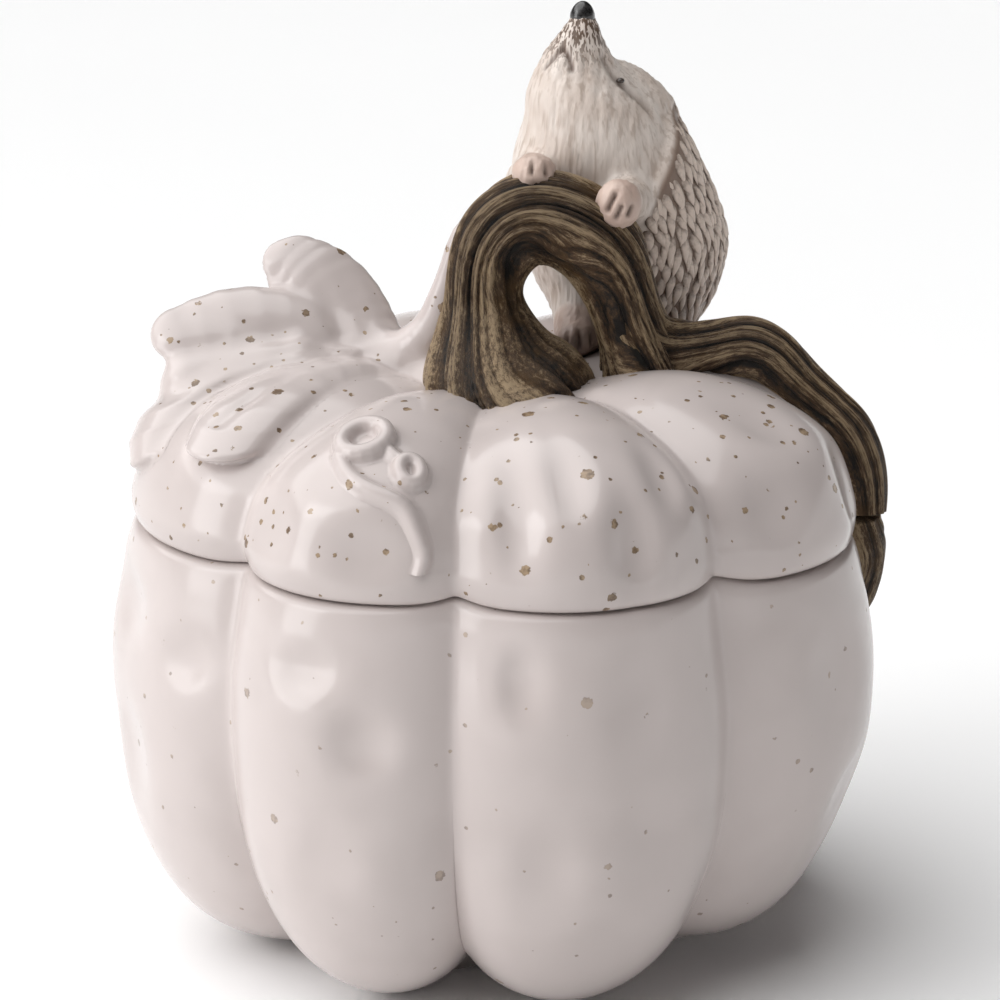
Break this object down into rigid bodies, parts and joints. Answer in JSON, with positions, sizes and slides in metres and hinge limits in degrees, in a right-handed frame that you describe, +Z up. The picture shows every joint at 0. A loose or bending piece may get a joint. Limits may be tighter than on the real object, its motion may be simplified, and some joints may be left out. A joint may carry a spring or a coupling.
{
  "type": "lidded jar",
  "caption": "Lobed pumpkin-shaped ceramic jar with a lift-off lid whose arched stem handle carries a climbing hedgehog, a vine and a leaf.",
  "frame": {"origin": "middle of the foot ring, on the surface that the jar stands on", "axes": "+Z up, -Y the front of the jar, +X to the right, where the vine runs down"},
  "size_m": [0.2176, 0.2158, 0.2598],
  "materials": {
    "speckled_glaze": "glossy off-white glaze with brown speckles",
    "stem_brown": "satin brown glaze, wiped back on the ridges and dark in the grooves",
    "hedgehog_fur": "satin cream underglaze with carved brown hair strokes",
    "hedgehog_quills": "satin taupe underglaze over modelled quills",
    "nose_black": "glossy black",
    "eye_black": "glossy near-black",
    "bare_clay": "matt unglazed clay"
  },
  "bodies": {
    "jar": {"jar_shell": "speckled_glaze", "jar_vine_tail": "stem_brown"},
    "lid": {"hedgehog_ear_left": "hedgehog_fur", "hedgehog_ear_right": "hedgehog_fur", "hedgehog_eye_left": "eye_black", "hedgehog_eye_right": "eye_black", "hedgehog_forepaw_left": "hedgehog_fur", "hedgehog_forepaw_right": "hedgehog_fur", "hedgehog_head": "hedgehog_fur", "hedgehog_hind_foot_left": "hedgehog_fur", "hedgehog_hind_foot_right": "hedgehog_fur", "hedgehog_nose": "nose_black", "hedgehog_quill_coat": "hedgehog_quills", "hedgehog_torso": "hedgehog_fur", "leaf_front_lobe": "speckled_glaze", "leaf_left_lobe": "speckled_glaze", "leaf_rear_lobe": "speckled_glaze", "leaf_side_lobe": "speckled_glaze", "lid_locating_ring": "bare_clay", "lid_shell": "speckled_glaze", "stem": "stem_brown", "stem_stalk": "speckled_glaze", "tendril_large_curl": "speckled_glaze", "tendril_small_curl": "speckled_glaze", "tendril_tail": "speckled_glaze", "vine": "stem_brown"}
  },
  "joints": [
    {"name": "lid_lift", "type": "slide", "parent": "jar", "child": "lid", "axis": [0, 0, 1], "range_m": [0, 0.18]}
  ]
}
